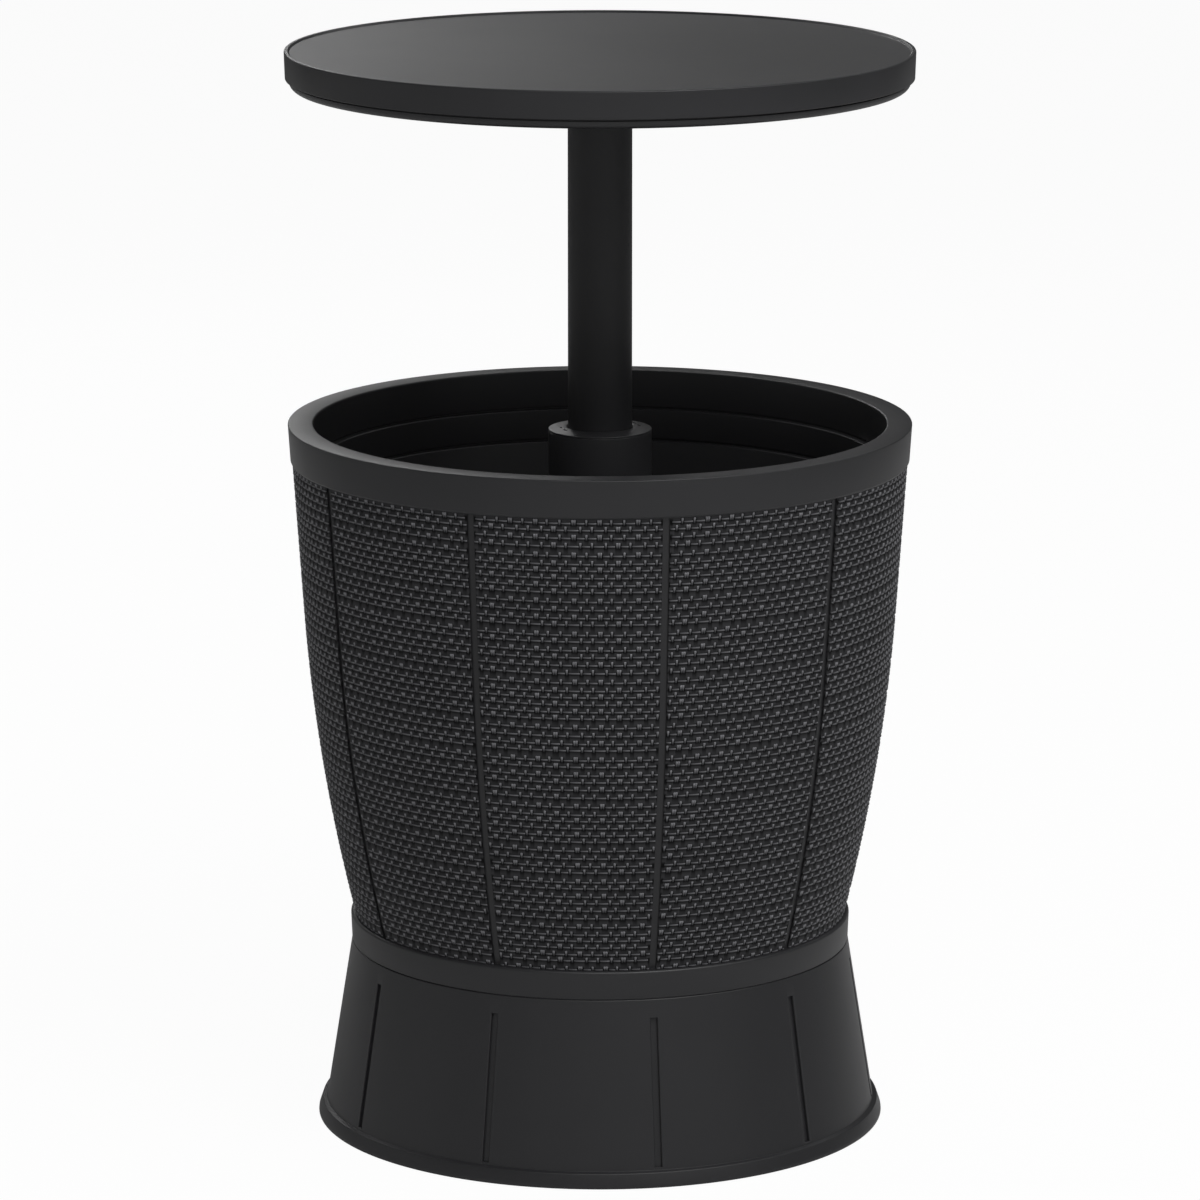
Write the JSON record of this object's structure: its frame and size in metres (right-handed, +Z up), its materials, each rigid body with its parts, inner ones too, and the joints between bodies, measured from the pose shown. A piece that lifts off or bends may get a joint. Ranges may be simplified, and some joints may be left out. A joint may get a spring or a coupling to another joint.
{
  "type": "cooler table with lid",
  "caption": "Round patio cooler table: an insulated tub with a woven-look barrel on a flared foot, closed by a table top that lifts and locks on a central column.",
  "frame": {"origin": "on the floor, under the middle of the foot, on the column's axis", "axes": "+Z up along the column, -Y towards the picture's viewer, +X to the viewer's right"},
  "size_m": [0.4825, 0.4825, 0.84],
  "materials": {
    "charcoal_resin": "satin",
    "top_resin": "satin",
    "dark_column": "satin",
    "inner_resin": "matte",
    "bush_plastic": "natural",
    "foam": "foamed",
    "rubber": "matte",
    "steel": "zinc plated"
  },
  "bodies": {
    "cooler_body": {"base_skirt": "charcoal_resin", "foot_pads": "rubber", "base_screws": "steel", "barrel_shell": "charcoal_resin", "support_deck": "inner_resin", "foam_jacket": "foam", "tub": "charcoal_resin", "centre_tower": "charcoal_resin", "guide_tube": "inner_resin", "tube_screws": "steel", "upper_bush": "bush_plastic", "lock_collar": "charcoal_resin", "drain_fitting": "inner_resin", "drain_washer": "rubber", "drain_nut": "inner_resin"},
    "glide": {"glide_bush": "bush_plastic"},
    "table_top": {"lid_tray": "top_resin", "lid_pan": "top_resin", "lid_seal": "rubber", "lid_foam": "foam", "lid_screws": "steel", "column": "dark_column", "column_flange": "inner_resin", "flange_screws": "steel", "column_screws": "steel", "stop_ring": "inner_resin", "lock_foot": "inner_resin", "foot_pin": "steel"},
    "drain_stopper": {"drain_plug": "inner_resin", "drain_o_ring": "rubber"}
  },
  "joints": [
    {"name": "lift", "type": "slide", "parent": "cooler_body", "child": "glide", "axis": [0, 0, 1], "range_m": [-0.2597, 0]},
    {"name": "top_twist", "type": "hinge", "parent": "glide", "child": "table_top", "pos_m": [0, 0, 0.45], "axis": [0, 0, 1], "range_deg": [0, 40]},
    {"name": "drain_pull", "type": "slide", "parent": "cooler_body", "child": "drain_stopper", "axis": [0, 0, 1], "range_m": [0, 0.04]}
  ]
}
